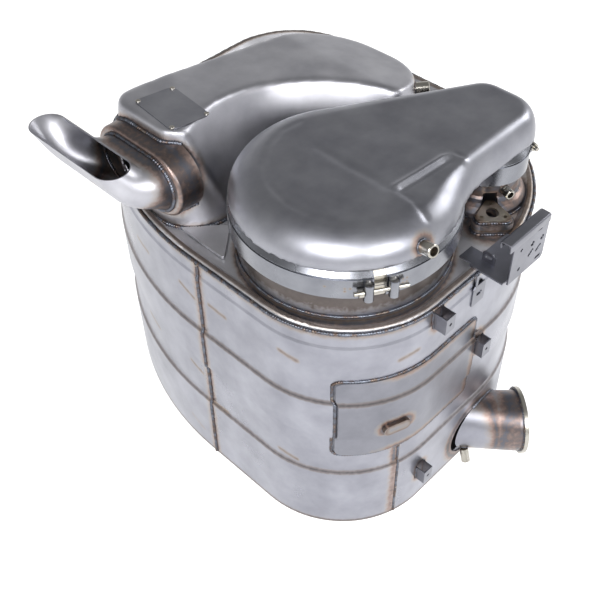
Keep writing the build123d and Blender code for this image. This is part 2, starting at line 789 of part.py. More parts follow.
# Folded carrier at the upper right
with BuildPart() as mounting_bracket:
    with BuildSketch(Plane.XZ.offset(-bracket_face - bracket_sheet)):
        with BuildLine():
            right = bracket_x + bracket_width
            Polyline(
                (bracket_x, bracket_bottom),
                (right - 4, bracket_bottom),
                (right, bracket_bottom + 12),
                (right, bracket_top),
                (bracket_x - 12, bracket_top),
                (bracket_x, bracket_top - 12),
                close=True,
            )
        make_face()
    extrude(amount=bracket_sheet)
    with Locations((bracket_x - 12, bracket_face, bracket_top)):
        Box(bracket_width + 12, bracket_flange, bracket_sheet, align=(Align.MIN, Align.MIN, Align.MIN))
    for x, z, radius in bracket_holes:
        with Locations(Plane(origin=(x, bracket_face, z), z_dir=(0, -1, 0))):
            Cylinder(radius, 10, mode=Mode.SUBTRACT)

with BuildPart() as mounting_gusset:
    with Locations((shelf_left, bracket_face + bracket_sheet, plate_rim)):
        Box(shelf_length, shelf_depth, bracket_sheet, align=(Align.MIN, Align.MIN, Align.MIN))

with BuildPart() as bracket_foot:
    with Locations((shelf_left + foot_offset, bracket_face + bracket_sheet + shelf_depth, plate_rim)):
        Box(foot_length, foot_depth, bracket_sheet, align=(Align.MIN, Align.MIN, Align.MIN))


# Folded U bracket, seated on the wall
def small_bracket(x, low):
    height = small_bracket_height
    inside = small_bracket_width - 2 * small_bracket_sheet
    with BuildPart() as folded:
        with Locations((x, front_y - band_rise - small_bracket_depth, low)):
            Box(small_bracket_width, 40, height, align=(Align.CENTER, Align.MIN, Align.MIN))
            with Locations((0, small_bracket_sheet, -over)):
                Box(inside, 50, height + 2 * over, align=(Align.CENTER, Align.MIN, Align.MIN), mode=Mode.SUBTRACT)
            with Locations(Location((0, 0, height / 2), (90, 0, 0))):
                Cylinder(small_bracket_hole, 10, mode=Mode.SUBTRACT)
        add(wall, mode=Mode.SUBTRACT)
    return folded.part


wall_brackets = {}
for place, (x, low) in small_bracket_places.items():
    wall_brackets[place] = small_bracket(x, low)

# Filter canister with its two catalysts, each wrapped in a mat
with BuildPart() as filter_canister:
    with BuildSketch(Plane.XY.offset(canister_bottom)):
        Circle(filter_radius)
        Circle(filter_radius - sheet, mode=Mode.SUBTRACT)
    extrude(amount=joint_level - gasket / 2 - canister_bottom)


# Monolith of the given radius
def brick(centre, radius, low, length):
    with BuildPart(Plane(origin=(*centre, low))) as monolith:
        Cylinder(radius, length, align=(Align.CENTER, Align.CENTER, Align.MIN))
    return monolith.part


# Sleeve between two radii
def sleeve(centre, outer, inner, low, length):
    with BuildPart() as tube:
        with BuildSketch(Plane(origin=(*centre, low))):
            Circle(outer)
            Circle(inner, mode=Mode.SUBTRACT)
        extrude(amount=length)
    return tube.part


filter_inside = filter_radius - sheet
oxidation_catalyst = brick(origin, filter_inside - mat_gap, oxidation_bottom, oxidation_length)
oxidation_mat = sleeve(origin, filter_inside, filter_inside - mat_gap, oxidation_bottom, oxidation_length)
particulate_filter = brick(origin, filter_inside - mat_gap, filter_bottom, filter_length)
filter_mat = sleeve(origin, filter_inside, filter_inside - mat_gap, filter_bottom, filter_length)

reduction = {}
can_length = upper_baffle_level - canister_bottom - sheet
for side, centre in reduction_centres.items():
    inside = reduction_radius - sheet
    core = inside - mat_gap / 2
    reduction[f"reduction_canister_{side}"] = sleeve(
        centre, reduction_radius, inside, canister_bottom + sheet, can_length)
    reduction[f"reduction_catalyst_{side}"] = brick(centre, core, reduction_bottom, reduction_length)
    reduction[f"reduction_mat_{side}"] = sleeve(centre, inside, core, reduction_bottom, reduction_length)

# Baffles that hold the canisters
with BuildPart() as lower_baffle:
    extrude(plan(band_rise - sheet - fit, canister_bottom), amount=sheet)
    with BuildSketch(Plane.XY.offset(canister_bottom - over)):
        Circle(filter_radius + fit)
        with Locations(neck_centre):
            Circle(mixing_tube_radius + fit)
        with Locations(*reduction_centres.values()):
            Circle(reduction_radius - 2 * sheet)
    extrude(amount=2 * sheet, mode=Mode.SUBTRACT)
with BuildPart() as upper_baffle:
    extrude(plan(-sheet - fit, upper_baffle_level), amount=sheet)
    with BuildSketch(Plane.XY.offset(upper_baffle_level - over)):
        Circle(filter_radius + fit)
        with Locations(neck_centre):
            Circle(mixing_tube_radius + fit)
        with Locations(*reduction_centres.values()):
            Circle(reduction_radius - 2 * sheet)
    extrude(amount=2 * sheet, mode=Mode.SUBTRACT)

# Partition between the inlet chamber and the turning chamber
with BuildPart() as chamber_partition:
    with BuildSketch(Plane.XY.offset(sheet)):
        with BuildLine():
            Polyline(*partition_fold)
        trace(line_width=sheet)
    extrude(amount=canister_bottom - sheet)
    inside = plan(band_rise - 2 * sheet - 2 * fit, sheet)
    extrude(inside, amount=canister_bottom - sheet, mode=Mode.INTERSECT)

pieces = {
    "body_shell": body_shell.part,
    "bottom_plate": bottom_plate.part,
    "top_plate": top_plate.part,
    "side_patch": side_patch.part,
    "pressure_port_block": pressure_port_block.part,
    "outlet_hood": outlet_hood.part,
    "hood_plate": hood_plate.part,
    "hood_plate_rivets": hood_plate_rivets.part,
    "outlet_collar": outlet_collar.part,
    "tail_pipe": tail_pipe.part,
    "crossover_cover": crossover_cover.part,
    "crossover_pan": crossover_pan.part,
    "cover_flange": cover_flange.part,
    "filter_flange": filter_flange.part,
    "filter_gasket": filter_gasket.part,
    "filter_clamp": filter_clamp.part,
    "filter_clamp_latch": filter_clamp_latch.part,
    "neck_upper_flange": neck_upper_flange.part,
    "neck_lower_flange": neck_lower_flange.part,
    "neck_gasket": neck_gasket.part,
    "neck_clamp": neck_clamp.part,
    "neck_clamp_latch": neck_clamp_latch.part,
    "dosing_pad": dosing_pad.part,
    "dosing_flange": dosing_flange.part,
    "mixing_neck": mixing_neck.part,
    "mixing_tube": mixing_tube.part,
    "inlet_cone": inlet_cone.part,
    "inlet_flange": inlet_flange.part,
    "cover_boss": cover_boss.part,
    "hood_boss": hood_boss.part,
    "neck_boss": neck_boss.part,
    "inlet_boss": inlet_boss.part,
    "mounting_bracket": mounting_bracket.part,
    "mounting_gusset": mounting_gusset.part,
    "bracket_foot": bracket_foot.part,
    "wall_bracket_upper": wall_brackets["upper"],
    "wall_bracket_middle": wall_brackets["middle"],
    "wall_bracket_lower": wall_brackets["lower"],
    "filter_canister": filter_canister.part,
    "oxidation_catalyst": oxidation_catalyst,
    "oxidation_mat": oxidation_mat,
    "particulate_filter": particulate_filter,
    "filter_mat": filter_mat,
    **reduction,
    "lower_baffle": lower_baffle.part,
    "upper_baffle": upper_baffle.part,
    "chamber_partition": chamber_partition.part,
}
for name, piece in pieces.items():
    piece.label = name
    export_step(piece, f"parts/{name}.step")
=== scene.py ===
import itertools
import math
import bmesh
import bpy
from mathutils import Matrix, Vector
from mathutils.bvhtree import BVHTree
from mathutils.geometry import intersect_point_line


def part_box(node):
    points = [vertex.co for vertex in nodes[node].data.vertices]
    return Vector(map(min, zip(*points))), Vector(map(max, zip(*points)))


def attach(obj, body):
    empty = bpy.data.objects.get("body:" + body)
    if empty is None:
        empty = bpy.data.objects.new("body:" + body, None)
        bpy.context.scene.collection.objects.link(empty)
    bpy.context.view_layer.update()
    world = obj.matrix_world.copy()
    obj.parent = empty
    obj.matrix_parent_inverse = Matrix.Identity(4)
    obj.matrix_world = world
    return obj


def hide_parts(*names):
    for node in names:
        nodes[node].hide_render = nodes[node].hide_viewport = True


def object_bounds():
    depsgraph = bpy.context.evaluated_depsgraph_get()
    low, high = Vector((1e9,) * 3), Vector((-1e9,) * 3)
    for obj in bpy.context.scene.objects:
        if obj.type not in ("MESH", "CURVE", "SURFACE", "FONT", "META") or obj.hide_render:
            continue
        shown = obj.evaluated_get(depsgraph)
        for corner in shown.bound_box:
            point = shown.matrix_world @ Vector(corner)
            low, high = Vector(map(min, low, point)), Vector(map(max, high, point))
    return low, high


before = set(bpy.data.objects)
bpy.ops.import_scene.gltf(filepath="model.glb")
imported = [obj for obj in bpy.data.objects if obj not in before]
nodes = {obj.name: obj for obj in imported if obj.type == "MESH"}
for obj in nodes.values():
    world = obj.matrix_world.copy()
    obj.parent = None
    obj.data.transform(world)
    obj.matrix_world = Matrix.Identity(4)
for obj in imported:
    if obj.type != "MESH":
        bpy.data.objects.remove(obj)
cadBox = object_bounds()
bpy.ops.object.select_all(action="DESELECT")
mm = 0.001
sameSpot = 0.01 * mm  # closer points are one
print("packed frame loaded:", len(nodes), "nodes")

# camera and studio
cameraSettings = {
    "place": (-0.8111, -0.7092, 1.4820),
    "turn": (44.082, 0.8186, -45.8458),  # degrees
    "lens": 57.0,
    "sensor": 36,
    "shift": (0.0028, -0.0045),
    "reach": 50,
}
studioSettings = {
    "floorSize": 14.0,
    "floorGlow": 0.8,  # what the floor gives by itself; the lamps give the rest, so the shadow stays
    "floorColour": "c0c0c0",
    # how high a direction points, from straight down to straight up, and its brightness in a reflection
    "ceiling": ((0.0, 1.0), (0.5, 1.0), (0.62, 0.7), (0.76, 0.34), (1.0, 0.24)),
    "fill": 0.55,
    "lamps": (
        {"name": "frontLamp", "place": (-0.4, -2.3, 1.8), "size": 1.2, "power": 44},
        {"name": "leftLamp", "place": (-1.9, -1.0, 2.1), "size": 1.3, "power": 72},
        {"name": "rightLamp", "place": (2.4, -0.9, 1.8), "size": 1.2, "power": 24},
    ),
    "target": (0.06, 0.12, 0.35),
}


def linearColour(code):
    channels = []
    for start in (0, 2, 4):
        value = int(code[start:start + 2], 16) / 255
        channels.append(value / 12.92 if value <= 0.04045 else ((value + 0.055) / 1.055) ** 2.4)
    return (*channels, 1.0)


def addNode(tree, kind, settings=(), values=(), links=()):
    node = tree.nodes.new(kind)
    for name, value in dict(settings).items():
        setattr(node, name, value)
    for socket, value in dict(values).items():
        node.inputs[socket].default_value = value
    for socket, source in dict(links).items():
        tree.links.new(source, node.inputs[socket])
    return node


def setRamp(ramp, stops):
    elements = ramp.color_ramp.elements
    while len(elements) < len(stops):
        elements.new(0.5)
    for element, (position, colour) in zip(elements, stops):
        element.position = position
        element.color = colour


def blankMaterial(name):
    material = bpy.data.materials.new(name)
    material.use_nodes = True
    tree = material.node_tree
    tree.nodes.clear()
    return material, tree


cameraData = bpy.data.cameras.new("photoCamera")
cameraData.lens = cameraSettings["lens"]
cameraData.sensor_width = cameraSettings["sensor"]
cameraData.shift_x, cameraData.shift_y = cameraSettings["shift"]
cameraData.clip_end = cameraSettings["reach"]
camera = bpy.data.objects.new("photoCamera", cameraData)
camera.location = cameraSettings["place"]
camera.rotation_euler = [math.radians(angle) for angle in cameraSettings["turn"]]
bpy.context.scene.collection.objects.link(camera)
bpy.context.scene.camera = camera
bpy.context.scene.view_settings.view_transform = "Standard"

# white for the eye; metal and glass see a white studio under a darker ceiling
world = bpy.data.worlds.new("studio")
bpy.context.scene.world = world
world.use_nodes = True
tree = world.node_tree
tree.nodes.clear()
way = addNode(tree, "ShaderNodeTexCoord")
split = addNode(tree, "ShaderNodeSeparateXYZ", links={0: way.outputs["Generated"]})
height = addNode(
    tree, "ShaderNodeMapRange", values={"From Min": -1.0, "From Max": 1.0},
    links={"Value": split.outputs["Z"]})
ceiling = addNode(tree, "ShaderNodeValToRGB", links={0: height.outputs[0]})
setRamp(ceiling, [(position, (level, level, level, 1)) for position, level in studioSettings["ceiling"]])
path = addNode(tree, "ShaderNodeLightPath")
mirror = addNode(
    tree, "ShaderNodeMath", {"operation": "MAXIMUM"},
    links={0: path.outputs["Is Glossy Ray"], 1: path.outputs["Is Transmission Ray"]})
fill = addNode(tree, "ShaderNodeBackground", values={"Strength": studioSettings["fill"]})
seen = addNode(tree, "ShaderNodeBackground", links={"Color": ceiling.outputs["Color"]})
white = addNode(tree, "ShaderNodeBackground", values={"Color": (1, 1, 1, 1)})
reflected = addNode(
    tree, "ShaderNodeMixShader", links={0: mirror.outputs[0], 1: fill.outputs[0], 2: seen.outputs[0]})
final = addNode(
    tree, "ShaderNodeMixShader",
    links={0: path.outputs["Is Camera Ray"], 1: reflected.outputs[0], 2: white.outputs[0]})
addNode(tree, "ShaderNodeOutputWorld", links={"Surface": final.outputs[0]})

for lampSettings in studioSettings["lamps"]:
    lampData = bpy.data.lights.new(lampSettings["name"], "AREA")
    lampData.shape = "DISK"
    lampData.size = lampSettings["size"]
    lampData.energy = lampSettings["power"]
    lamp = bpy.data.objects.new(lampSettings["name"], lampData)
    lamp.location = lampSettings["place"]
    aim = Vector(studioSettings["target"]) - lamp.location
    lamp.rotation_euler = aim.to_track_quat("-Z", "Y").to_euler()
    bpy.context.scene.collection.objects.link(lamp)

bpy.ops.mesh.primitive_plane_add(size=studioSettings["floorSize"], location=(0, 0, cadBox[0].z))
floor = bpy.context.object
floor.name = "studioFloor"
floorPaint, tree = blankMaterial("paleFloor")
path = addNode(tree, "ShaderNodeLightPath")
direct = addNode(
    tree, "ShaderNodeMath", {"operation": "MAXIMUM"},
    links={0: path.outputs["Is Camera Ray"], 1: path.outputs["Is Glossy Ray"]})
shown = addNode(
    tree, "ShaderNodeMath", {"operation": "MAXIMUM"},
    links={0: direct.outputs[0], 1: path.outputs["Is Transmission Ray"]})
glow = addNode(
    tree, "ShaderNodeMath", {"operation": "MULTIPLY"}, {1: studioSettings["floorGlow"]},
    {0: shown.outputs[0]})
matt = addNode(
    tree, "ShaderNodeBsdfDiffuse", values={"Color": linearColour(studioSettings["floorColour"])})
lit = addNode(tree, "ShaderNodeEmission", links={"Strength": glow.outputs[0]})
both = addNode(tree, "ShaderNodeAddShader", links={0: matt.outputs[0], 1: lit.outputs[0]})
addNode(tree, "ShaderNodeOutputMaterial", links={"Surface": both.outputs[0]})
floor.data.materials.append(floorPaint)
bpy.ops.object.select_all(action="DESELECT")
print("camera, lamps and floor ready")

# where welding coloured the steel, in mm: two ends, radius of the ring round them, width of the halo
heatLines = {
    "seams": (
        ((-186, 135, 5), (-186, 135, 487), 0, 16),
        ((-66, -179, 5), (-66, -179, 205), 0, 13),
    ),
    "wallBrackets": (
        ((-4, -194, 452), (-4, -194, 482), 10, 12),
        ((114, -192, 302), (114, -192, 330), 10, 12),
        ((-5, -194, 68), (-5, -194, 96), 10, 12),
    ),
    "inletFoot": (((142, -186, 62), (142, -186, 62), 66, 16),),
    "inlet": (((206, -242, 62), (206, -242, 62), 58, 14), ((112, -214, 22), (112, -214, 22), 10, 14)),
    "patch": (
        ((-149, -165, 205), (-149, -165, 383), 0, 15),
        ((101, -194, 205), (101, -194, 383), 0, 15),
        ((-149, -150, 203), (-100, -178, 203), 0, 13),
        ((-100, -178, 203), (0, -193, 203), 0, 13),
        ((0, -193, 203), (101, -194, 203), 0, 13),
        ((-149, -150, 385), (-100, -178, 385), 0, 13),
        ((-100, -178, 385), (0, -193, 385), 0, 13),
        ((0, -193, 385), (101, -194, 385), 0, 13),
    ),
    "ports": (((-83, -178, 265), (-59, -186, 265), 13, 14),),
    "collar": (((-155, 236, 574), (-155, 318, 574), 60, 15),),
    "pipeJoint": (((-165, 243, 574), (-165, 311, 574), 49, 9),),
    "pipeSeam": (
        ((-172, 277, 526), (-215, 277, 553), 0, 9),
        ((-215, 277, 553), (-244, 285, 590), 0, 8),
    ),
    "dosingFoot": (((191, -136, 487), (191, -136, 487), 35, 20),),
    "dosingTop": (((191, -136, 509), (191, -136, 509), 32, 14),),
    "neck": (((249, -74, 487), (249, -74, 487), 72, 16), ((249, -74, 516), (249, -74, 516), 59, 12)),
    "filter": (((0, 0, 487), (0, 0, 487), 167, 10),),
    "coverBoss": (((-29, -168, 610), (-29, -168, 610), 11, 14),),
    "hoodBoss": (((302, 105, 576), (302, 105, 576), 12, 14),),
}
# smaller marks: spot welds of the inner walls, of the clamp's strap, and dirt round ports and rivets
strapRadius = 175
strapTurns = (  # degrees round the strap, and height
    (-147, 569), (-138, 567), (-135.5, 567), (-138, 562), (-111, 569), (-109, 569), (-111, 562), (-109, 562))
strapSpots = [
    (strapRadius * math.cos(math.radians(turn)), strapRadius * math.sin(math.radians(turn)), level)
    for turn, level in strapTurns]
rivetSpots = [(x, y, 637) for x, y in ((-99, 350), (-35, 339), (-42, 248), (-105, 259))]
markLines = {
    "wallSpots": (
        ((-159, 322, 407), (-170, 282, 406), 0, 7),
        ((-185, 183, 415), (-186, 150, 402), 0, 7),
        ((-186, 113, 412), (-186, 77, 410), 0, 7),
        ((-183, -39, 424), (-176, -68, 416), 0, 7),
        ((-71, -177, 417), (-41, -186, 422), 0, 7),
        ((-185, 181, 224), (-186, 153, 213), 0, 7),
        ((-157, 326, 218), (-168, 289, 212), 0, 7),
        ((-186, 132, 151), (-186, 95, 155), 0, 7),
        ((-184, -32, 170), (-177, -64, 163), 0, 7),
        ((-184, 198, 57), (-186, 167, 44), 0, 7),
    ),
    "strapSpots": [(spot, spot, 0, 3.2) for spot in strapSpots],
    "portDirt": (((-83, -178, 265), (-59, -186, 265), 12, 6),),
    "rivetDirt": [(spot, spot, 6, 4) for spot in rivetSpots],
}
# colours over the steel, from the middle of a line outwards: share of the width, colour, cover
tones = {
    "heat": (
        (0.0, "55565e", 0.85), (0.16, "66574f", 0.8), (0.36, "8c6a54", 0.62), (0.62, "a38d70", 0.3),
        (1.0, "b5ab98", 0.0)),
    # seam tone: brown heat tint darkened by painted shadow, laid under the overhanging ledges of the wall's
    # bands, and the same dark line along the wall's foot
    "seam": ((0.0, "4f4c4d", 0.85), (0.4, "6d6058", 0.6), (1.0, "9c9388", 0.0)),
    # painted shade: a dark brown-grey band that stands in for the shadow and dark reflection under the filter
    # clamp
    "paintedClampShade": ((0.0, "4a4340", 0.9), (0.7, "5c5148", 0.8), (1.0, "8f8578", 0.0)),
    "mark": ((0.0, "6e5a4a", 0.75), (0.45, "8c7a66", 0.5), (1.0, "a59c8c", 0.0)),
}

# finishes of stainless steel, by how each piece was made; how deep the bumps are: wave in mm, grain in
# tenths of a mm
finishes = {
    # cold rolled 304 sheet: even satin grey, faint clouds from rolling and handling
    "rolledSheet": {"light": "a7a8b1", "dark": "8f9099", "rough": (0.24, 0.4), "wave": 0.25, "grain": 0.6},
    # the same sheet after deep drawing: duller, with drawing marks
    "pressedSheet": {"light": "a6a7ae", "dark": "8f9098", "rough": (0.31, 0.46), "wave": 0.18, "grain": 0.8},
    # the same drawn sheet painted paler, to stand in for the stronger light on the hood and the tail pipe
    "paintedLightBrightSheet": {"light": "c6c6cc", "dark": "adadb4", "rough": (0.33, 0.48), "wave": 0.18, "grain": 0.8},
    # the lid's sheet, painted paler than the other pressed sheet to stand in for the light that falls on it;
    # soft, without a clear reflection
    "paintedLightLidSheet": {"light": "e2e2e6", "dark": "cbcbd0", "rough": (0.46, 0.58), "wave": 0.18, "grain": 0.8},
    # thicker plate for patch and brackets: darker and closer in its shine
    "dullSheet": {"light": "8f9098", "dark": "7b7c84", "rough": (0.28, 0.42), "wave": 0.25, "grain": 0.6},
    # lost wax casting: warm grey, soft shine
    "castBody": {"light": "d2cbbf", "dark": "b5aea2", "rough": (0.3, 0.48), "wave": 0.05, "grain": 0.5},
    # turned on a lathe: bright, warm and clean
    "turnedBoss": {"light": "c4c0b8", "dark": "a9a59c", "rough": (0.2, 0.32), "wave": 0.0, "grain": 0.25},
    # hard rolled strip: dark mirror-like bands
    "bandStrap": {"light": "94969c", "dark": "7a7c83", "rough": (0.2, 0.33), "wave": 0.06, "grain": 0.4},
}
# noise scales: one over the size of a patch in metres
steelScales = {
    "clouds": 16.0,  # about 60 mm across
    "grain": 320.0,  # rolling grain is finer than a pixel, so it is drawn about 3 mm long, 0.8 mm wide
    "grainStretch": (1.0, 1.0, 4.0),
    "stain": 5.0,  # about 200 mm across
    "stainShare": 0.22,
    "ragged": 130.0,  # 8 mm, for the uneven edge of a halo
    "raggedShare": 0.16,
}


def lineReach(tree, place, lines):
    reach = None
    for low, high, radius, width in lines:
        start = Vector(low) * mm
        along = Vector(high) * mm - start
        offset = addNode(
            tree, "ShaderNodeVectorMath", {"operation": "SUBTRACT"}, {1: start}, {0: place})
        if along.length > 0:
            share = addNode(
                tree, "ShaderNodeVectorMath", {"operation": "DOT_PRODUCT"},
                {1: along / along.length_squared}, {0: offset.outputs[0]})
            held = addNode(tree, "ShaderNodeClamp", links={0: share.outputs["Value"]})
            foot = addNode(
                tree, "ShaderNodeVectorMath", {"operation": "SCALE"}, {0: along}, {"Scale": held.outputs[0]})
            gap = addNode(
                tree, "ShaderNodeVectorMath", {"operation": "DISTANCE"},
                links={0: offset.outputs[0], 1: foot.outputs[0]})
        else:
            gap = addNode(
                tree, "ShaderNodeVectorMath", {"operation": "LENGTH"}, links={0: offset.outputs[0]})
        scaled = widthShare(tree, gap.outputs["Value"], radius, width)
        if reach is None:
            reach = scaled
        else:
            nearer = addNode(tree, "ShaderNodeMath", {"operation": "MINIMUM"}, links={0: reach, 1: scaled})
            reach = nearer.outputs[0]
    return reach


# how far a value is from a middle, as a share of a width
def widthShare(tree, value, middle, width):
    beside = addNode(tree, "ShaderNodeMath", {"operation": "SUBTRACT"}, {1: middle * mm}, {0: value})
    away = addNode(tree, "ShaderNodeMath", {"operation": "ABSOLUTE"}, links={0: beside.outputs[0]})
    scaled = addNode(
        tree, "ShaderNodeMath", {"operation": "DIVIDE"}, {1: width * mm}, {0: away.outputs[0]})
    return scaled.outputs[0]


def steelMaterial(name, finish, heat=(), marks=(), levels=()):
    material, tree = blankMaterial(name)
    place = addNode(tree, "ShaderNodeTexCoord").outputs["Object"]
    clouds = addNode(
        tree, "ShaderNodeTexNoise",
        values={"Scale": steelScales["clouds"], "Detail": 4.0, "Roughness": 0.55}, links={"Vector": place})
    stretched = addNode(
        tree, "ShaderNodeMapping", values={"Scale": steelScales["grainStretch"]}, links={"Vector": place})
    grain = addNode(
        tree, "ShaderNodeTexNoise",
        values={"Scale": steelScales["grain"], "Detail": 3.0, "Roughness": 0.6},
        links={"Vector": stretched.outputs[0]})
    stain = addNode(
        tree, "ShaderNodeTexNoise",
        values={"Scale": steelScales["stain"], "Detail": 6.0, "Roughness": 0.65}, links={"Vector": place})
    ragged = addNode(
        tree, "ShaderNodeTexNoise", values={"Scale": steelScales["ragged"], "Detail": 3.0},
        links={"Vector": place})
    shake = addNode(
        tree, "ShaderNodeMapRange",
        values={
            "From Min": 0.25, "From Max": 0.75,
            "To Min": -steelScales["raggedShare"], "To Max": steelScales["raggedShare"]},
        links={"Value": ragged.outputs[0]})
    cloudShare = addNode(
        tree, "ShaderNodeMapRange", values={"From Min": 0.3, "From Max": 0.7},
        links={"Value": clouds.outputs[0]})
    blend = addNode(
        tree, "ShaderNodeMixRGB",
        values={1: linearColour(finish["dark"]), 2: linearColour(finish["light"])},
        links={0: cloudShare.outputs[0]})
    stained = addNode(
        tree, "ShaderNodeMixRGB", {"blend_type": "MULTIPLY"}, {0: steelScales["stainShare"]},
        {1: blend.outputs[0], 2: stain.outputs[0]})
    colour = stained.outputs[0]
    layers = []
    if heat:
        layers.append((lineReach(tree, place, heat), "heat"))
    if marks:
        layers.append((lineReach(tree, place, marks), "mark"))
    for level, width, tone in levels:
        split = addNode(tree, "ShaderNodeSeparateXYZ", links={0: place})
        layers.append((widthShare(tree, split.outputs["Z"], level, width), tone))
    for reach, tone in layers:
        uneven = addNode(
            tree, "ShaderNodeMath", {"operation": "ADD"}, links={0: reach, 1: shake.outputs[0]})
        ramp = addNode(tree, "ShaderNodeValToRGB", links={0: uneven.outputs[0]})
        setRamp(ramp, [(position, (*linearColour(code)[:3], cover)) for position, code, cover in tones[tone]])
        tinted = addNode(
            tree, "ShaderNodeMixRGB",
            links={0: ramp.outputs["Alpha"], 1: colour, 2: ramp.outputs["Color"]})
        colour = tinted.outputs[0]
    gloss = addNode(
        tree, "ShaderNodeMapRange",
        values={
            "From Min": 0.3, "From Max": 0.7, "To Min": finish["rough"][0], "To Max": finish["rough"][1]},
        links={"Value": stain.outputs[0]})
    wavy = addNode(
        tree, "ShaderNodeBump", values={"Strength": 1.0, "Distance": finish["wave"] * mm},
        links={"Height": clouds.outputs[0]})
    fine = addNode(
        tree, "ShaderNodeBump", values={"Strength": 0.25, "Distance": finish["grain"] * 0.1 * mm},
        links={"Height": grain.outputs[0], "Normal": wavy.outputs[0]})
    shader = addNode(
        tree, "ShaderNodeBsdfPrincipled", values={"Metallic": 1.0},
        links={"Base Color": colour, "Roughness": gloss.outputs[0], "Normal": fine.outputs[0]})
    addNode(tree, "ShaderNodeOutputMaterial", links={"Surface": shader.outputs[0]})
    return material


# each steel with its finish, its heat and marks, its level lines (height and width in mm, tone), its nodes
steels = {
    # satin wall, brown beside its welds; under the ledges of its bands, brown heat darkened by painted
    # shadow, and the same dark line along its foot
    "rolledWallSteel": {
        "finish": "rolledSheet", "heat": ("seams", "inletFoot", "wallBrackets"), "marks": ("wallSpots",),
        "levels": ((487, 12, "mark"), (152, 6, "seam"), (336, 6, "seam"), (6, 6, "seam")),
        "nodes": ("body_shell",)},
    # the patch, outlined in brown by its weld, with the painted shadow of a band ledge across it
    "rolledPatchSteel": {
        "finish": "dullSheet", "heat": ("patch", "ports"), "levels": ((336, 6, "seam"),),
        "nodes": ("side_patch",)},
    # floor tray with a tinted edge
    "pressedTraySteel": {
        "finish": "pressedSheet", "levels": ((5, 5, "mark"),), "nodes": ("bottom_plate",)},
    # lid, browned where things stand on it, with painted shade darkening it towards the filter clamp; its
    # sheet is painted paler for the light that falls on it
    "pressedLidSteel": {
        "finish": "paintedLightLidSheet", "heat": ("dosingFoot", "dosingTop", "neck", "filter"),
        "levels": ((495, 2.5, "mark"), (545, 38, "paintedClampShade")), "nodes": ("top_plate", "dosing_pad")},
    # hood, painted pale for the light on it, with a burnt ring round its collar and a brown foot
    "pressedHoodSteel": {
        "finish": "paintedLightBrightSheet", "heat": ("collar", "hoodBoss"), "levels": ((488, 12, "mark"),),
        "nodes": ("outlet_hood",)},
    # plain plate, a shade darker than the hood, dirty round its rivets
    "plainPlateSteel": {"finish": "pressedSheet", "marks": ("rivetDirt",), "nodes": ("hood_plate",)},
    # cover, clean and grey, with one halo
    "pressedCoverSteel": {
        "finish": "pressedSheet", "heat": ("coverBoss",), "nodes": ("crossover_cover", "crossover_pan")},
    # collar, brown and blue from two welds
    "outletCollarSteel": {
        "finish": "pressedSheet", "heat": ("collar", "pipeJoint"), "nodes": ("outlet_collar",)},
    # tail pipe, painted bright for the light on it, with the line of its clamshell seam
    "tailPipeSteel": {
        "finish": "paintedLightBrightSheet", "heat": ("pipeJoint", "pipeSeam"), "nodes": ("tail_pipe",)},
    # neck, bronzed almost all over
    "drawnNeckSteel": {
        "finish": "pressedSheet", "heat": ("neck", "dosingFoot", "dosingTop"), "nodes": ("mixing_neck",)},
    # inlet cone, satin, browned at both ends
    "inletConeSteel": {
        "finish": "rolledSheet", "heat": ("inlet", "inletFoot"), "nodes": ("inlet_cone",)},
    # turned flanges, bright rims
    "turnedFlangeSteel": {
        "finish": "turnedBoss",
        "nodes": (
            "cover_flange", "filter_flange", "neck_upper_flange", "neck_lower_flange", "inlet_flange")},
    # clamp straps, dark and glossy, with spot welds
    "polishedBandSteel": {
        "finish": "bandStrap", "marks": ("strapSpots",), "nodes": ("filter_clamp", "neck_clamp")},
    # clamp bolts, small and bright
    "zincPlatedBoltSteel": {
        "finish": "turnedBoss", "nodes": ("filter_clamp_latch", "neck_clamp_latch")},
    # sensor bosses and rivets, small and bright
    "turnedBossSteel": {
        "finish": "turnedBoss",
        "nodes": ("hood_plate_rivets", "cover_boss", "hood_boss", "neck_boss", "inlet_boss")},
    # dosing flange, warm grey casting with a burnt foot
    "castDosingSteel": {"finish": "castBody", "heat": ("dosingTop",), "nodes": ("dosing_flange",)},
    # port block, grey with dirty sockets
    "portBlockSteel": {"finish": "dullSheet", "marks": ("portDirt",), "nodes": ("pressure_port_block",)},
    # folded brackets, plain and darker than the wall
    "bentBracketSteel": {
        "finish": "dullSheet",
        "nodes": (
            "mounting_bracket", "mounting_gusset", "bracket_foot", "wall_bracket_upper",
            "wall_bracket_middle", "wall_bracket_lower")},
    # filter canister, darkened under its clamp by painted shade
    "clampShadedCanisterSteel": {
        "finish": "pressedSheet", "levels": ((545, 38, "paintedClampShade"),), "nodes": ("filter_canister",)},
    # inner sheet, and whatever no other row names
    "canisterSteel": {"finish": "pressedSheet", "nodes": ("mixing_tube",)},
}
materials = {}
nodeMaterials = {}
for name, settings in steels.items():
    heat = [line for group in settings.get("heat", ()) for line in heatLines[group]]
    marks = [line for group in settings.get("marks", ()) for line in markLines[group]]
    materials[name] = steelMaterial(
        name, finishes[settings["finish"]], heat, marks, settings.get("levels", ()))
    for node in settings["nodes"]:
        nodeMaterials[node] = materials[name]
print("steels ready")

